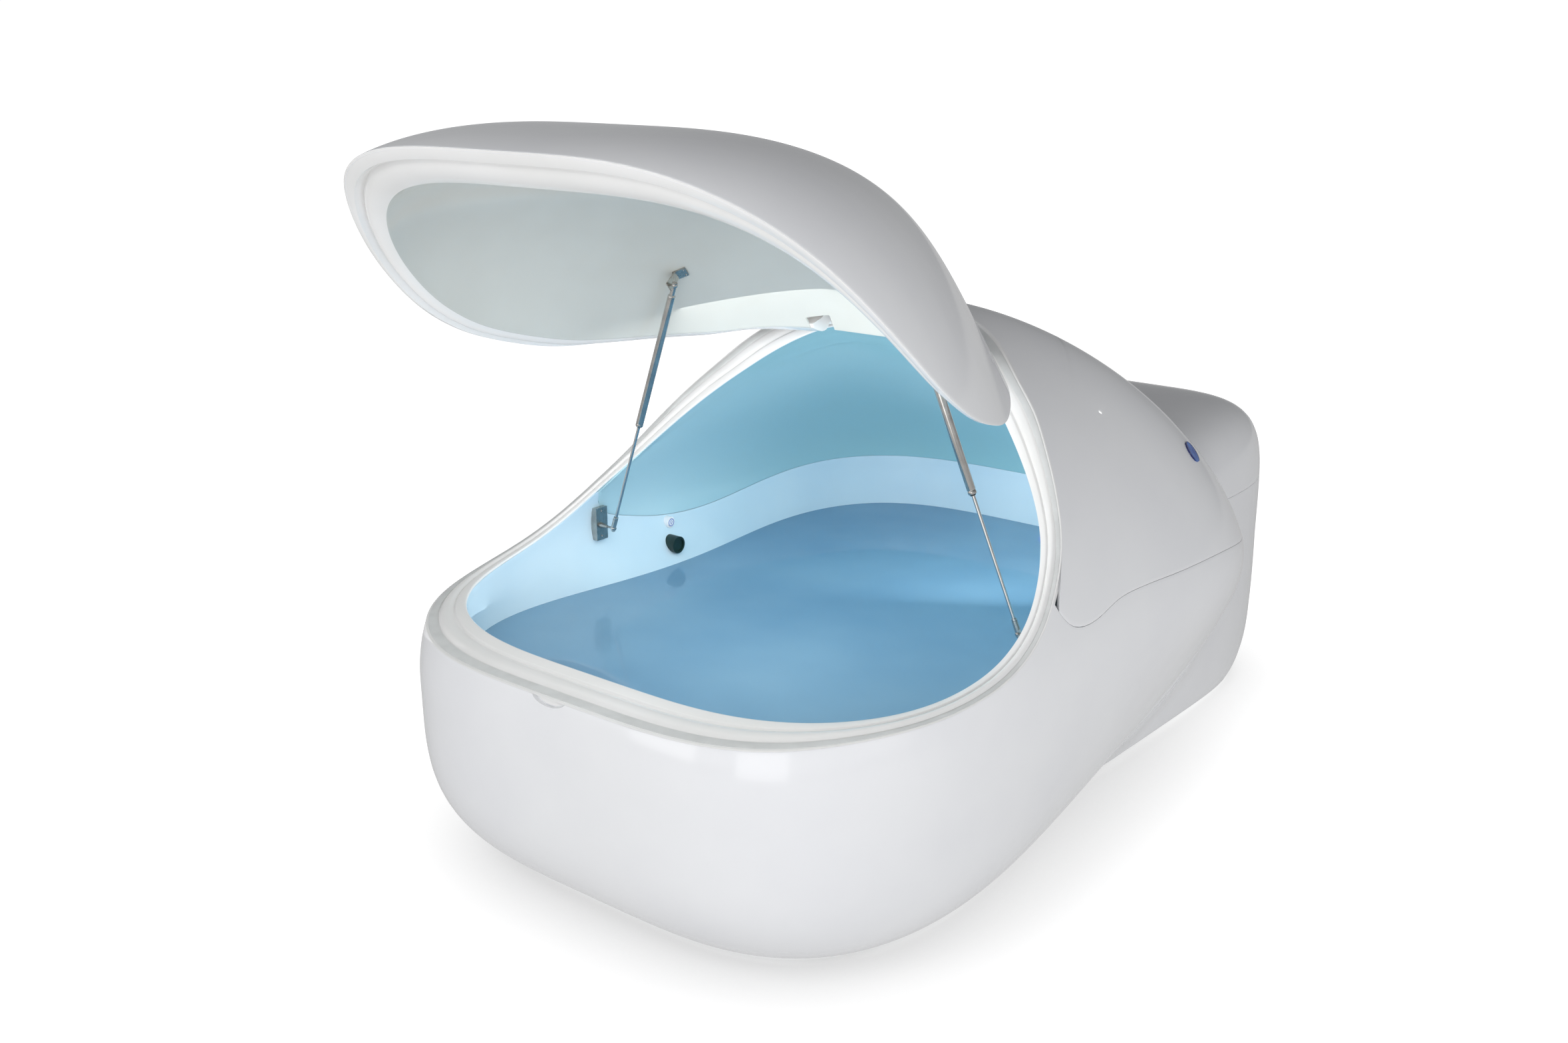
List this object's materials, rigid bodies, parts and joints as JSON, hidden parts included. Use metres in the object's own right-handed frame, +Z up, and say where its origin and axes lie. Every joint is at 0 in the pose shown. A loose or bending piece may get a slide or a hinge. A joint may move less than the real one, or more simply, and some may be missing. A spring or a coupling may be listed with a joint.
{
  "type": "flotation tank",
  "caption": "Egg-shaped float pod with a hinged clamshell lid on gas struts, a shallow salt-water tub under a rear hood, and a plant box behind.",
  "frame": {"origin": "floor level, under the middle of the object's box, the lid open", "axes": "+X to the right of someone who faces the pod from its open head end, +Y from there to the plant box, +Z up"},
  "size_m": [1.7278, 3.0598, 1.9242],
  "materials": {
    "shell_gelcoat": "glossy white gelcoat on glass fibre",
    "rim_gelcoat": "satin white gelcoat",
    "tub_gelcoat": "glossy pale gelcoat, blue under the pool light",
    "lid_panel": "satin pale grey gelcoat",
    "gasket_foam": "soft light grey seal strip",
    "stainless": "polished stainless steel",
    "badge_enamel": "blue domed resin",
    "button_plastic": "white moulded plastic",
    "cap_plastic": "dark moulded plastic",
    "led_lens": "clear lens over a blue light",
    "fitting_plastic": "white moulded plastic",
    "heater_rubber": "silicone heater mat",
    "frame_metal": "mill finish box section",
    "foot_metal": "zinc plated steel",
    "tray_metal": "mill finish sheet",
    "cradle_foam": "dense structural foam",
    "filter_plastic": "black moulded plastic",
    "cartridge_paper": "pleated polyester",
    "pump_metal": "painted cast body",
    "uv_tube": "grey moulded housing",
    "control_case": "light grey enclosure",
    "pvc_pipe": "white PVC pipe",
    "valve_plastic": "blue lever, white body"
  },
  "bodies": {
    "base": {"hinge_leaf_fixed_r": "stainless", "hinge_leaf_fixed_l": "stainless", "strut_plate_r": "stainless", "strut_plate_l": "stainless", "base_frame": "frame_metal", "foot_1": "foot_metal", "foot_2": "foot_metal", "foot_3": "foot_metal", "foot_4": "foot_metal", "cradle_1": "cradle_foam", "cradle_2": "cradle_foam", "button_ring": "fitting_plastic", "vent_cap": "cap_plastic", "led_rear": "led_lens", "suction_fitting": "fitting_plastic", "return_fitting": "fitting_plastic", "drain_fitting": "fitting_plastic", "heater_mat": "heater_rubber", "plant_tray": "tray_metal", "filter_lid": "filter_plastic", "filter_cartridge": "cartridge_paper", "filter_housing": "filter_plastic", "pump": "pump_metal", "uv_unit": "uv_tube", "control_box": "control_case", "pipe_suction": "pvc_pipe", "pipe_pump": "pvc_pipe", "pipe_filter": "pvc_pipe", "pipe_return": "pvc_pipe", "valve_suction": "pvc_pipe", "panel_screw_1": "stainless", "panel_screw_2": "stainless", "service_panel": "shell_gelcoat", "panel_frame": "rim_gelcoat", "badge": "badge_enamel", "body_shell": "shell_gelcoat", "hood_shell": "shell_gelcoat", "rim_front": "rim_gelcoat", "rim_hood": "rim_gelcoat", "rim_gasket": "gasket_foam", "tub_liner": "tub_gelcoat", "hood_liner": "tub_gelcoat"},
    "lid": {"lid_shell": "shell_gelcoat", "lid_rim": "rim_gelcoat", "lid_liner": "lid_panel", "hinge_leaf_lid_r": "stainless", "hinge_leaf_lid_l": "stainless", "strut_bracket_r": "stainless", "strut_bracket_l": "stainless"},
    "strut_rod_r": {"strut_socket_low_r": "stainless", "strut_rod_r": "stainless"},
    "strut_tube_r": {"strut_tube_r": "stainless", "strut_socket_top_r": "stainless"},
    "strut_rod_l": {"strut_socket_low_l": "stainless", "strut_rod_l": "stainless"},
    "strut_tube_l": {"strut_tube_l": "stainless", "strut_socket_top_l": "stainless"},
    "button": {"button_cap": "button_plastic"},
    "valve_suction_lever": {"valve_suction_lever": "valve_plastic"}
  },
  "joints": [
    {"name": "lid_hinge", "type": "hinge", "parent": "base", "child": "lid", "pos_m": [0, -0.1952, 1.376], "axis": [1, 0, 0], "range_deg": [0, 51.7]},
    {"name": "strut_swing_r", "type": "hinge", "parent": "base", "child": "strut_rod_r", "pos_m": [0.7, -0.5297, 0.699], "axis": [-0.4162, -0.8836, -0.2146], "range_deg": [0, 14.98]},
    {"name": "strut_slide_r", "type": "slide", "parent": "strut_rod_r", "child": "strut_tube_r", "axis": [-0.3728, -0.0494, 0.9266], "range_m": [-0.28729, 0]},
    {"name": "strut_swing_l", "type": "hinge", "parent": "base", "child": "strut_rod_l", "pos_m": [-0.7, -0.5297, 0.699], "axis": [-0.4162, 0.8836, 0.2146], "range_deg": [0, 14.98]},
    {"name": "strut_slide_l", "type": "slide", "parent": "strut_rod_l", "child": "strut_tube_l", "axis": [0.3728, -0.0494, 0.9266], "range_m": [-0.28729, 0]},
    {"name": "button_press", "type": "slide", "parent": "base", "child": "button", "axis": [-1, 0, 0], "range_m": [0, 0.003], "stiffness_N_per_m": 900, "springref_m": -0.001},
    {"name": "valve_turn", "type": "hinge", "parent": "base", "child": "valve_suction_lever", "pos_m": [-0.2, 0.8768, 0.29], "axis": [0, 1, 0], "range_deg": [0, 90]}
  ],
  "couplings": [
    {"joint": "strut_swing_r", "follows": "lid_hinge", "ratio": 0.28951},
    {"joint": "strut_slide_r", "follows": "lid_hinge", "m_per_rad": -0.31816},
    {"joint": "strut_swing_l", "follows": "lid_hinge", "ratio": 0.28951},
    {"joint": "strut_slide_l", "follows": "lid_hinge", "m_per_rad": -0.31816}
  ]
}
